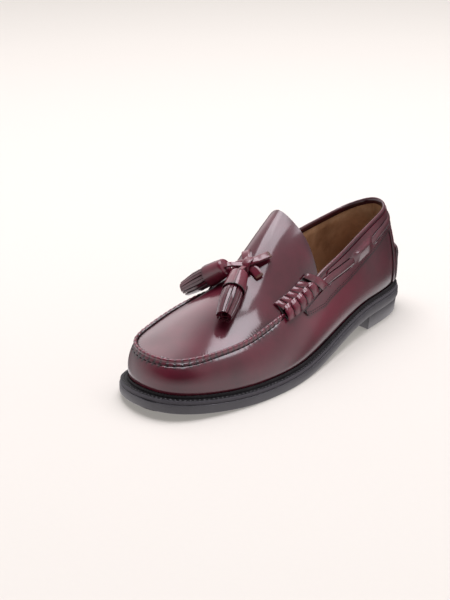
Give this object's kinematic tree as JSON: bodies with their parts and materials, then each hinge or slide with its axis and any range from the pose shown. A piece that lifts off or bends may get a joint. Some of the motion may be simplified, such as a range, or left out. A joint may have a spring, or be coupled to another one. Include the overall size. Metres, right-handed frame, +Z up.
{
  "type": "loafer",
  "caption": "Left moc-toe tassel loafer with raised apron seam, tall tongue, plaited side lacing, collar lace, ribbed welt, thin sole and low heel.",
  "frame": {"origin": "on the floor, under the middle of the outsole's box", "axes": "+Y from toe to heel, +X to the lateral side, +Z up"},
  "size_m": [0.104, 0.298, 0.1047],
  "materials": {
    "burgundy_leather": "high gloss, brushed-off",
    "black_welt": "waxed black",
    "black_sole": "satin, smooth edge",
    "tan_lining": "matt lining leather"
  },
  "bodies": {
    "root": {"outsole": "black_sole", "heel": "black_sole", "welt": "black_welt", "insole": "tan_lining", "upper": "burgundy_leather", "apron_tongue": "burgundy_leather", "collar_band": "burgundy_leather", "lace_lateral": "burgundy_leather", "lace_back": "burgundy_leather", "lace_medial": "burgundy_leather", "back_strip": "burgundy_leather", "heel_patch": "burgundy_leather", "braid_lateral": "burgundy_leather", "braid_medial": "burgundy_leather", "knot": "burgundy_leather", "tassel_cap_front": "burgundy_leather", "tassel_cap_side": "burgundy_leather", "tassel_fringe_front": "burgundy_leather", "tassel_fringe_side": "burgundy_leather"}
  },
  "joints": []
}
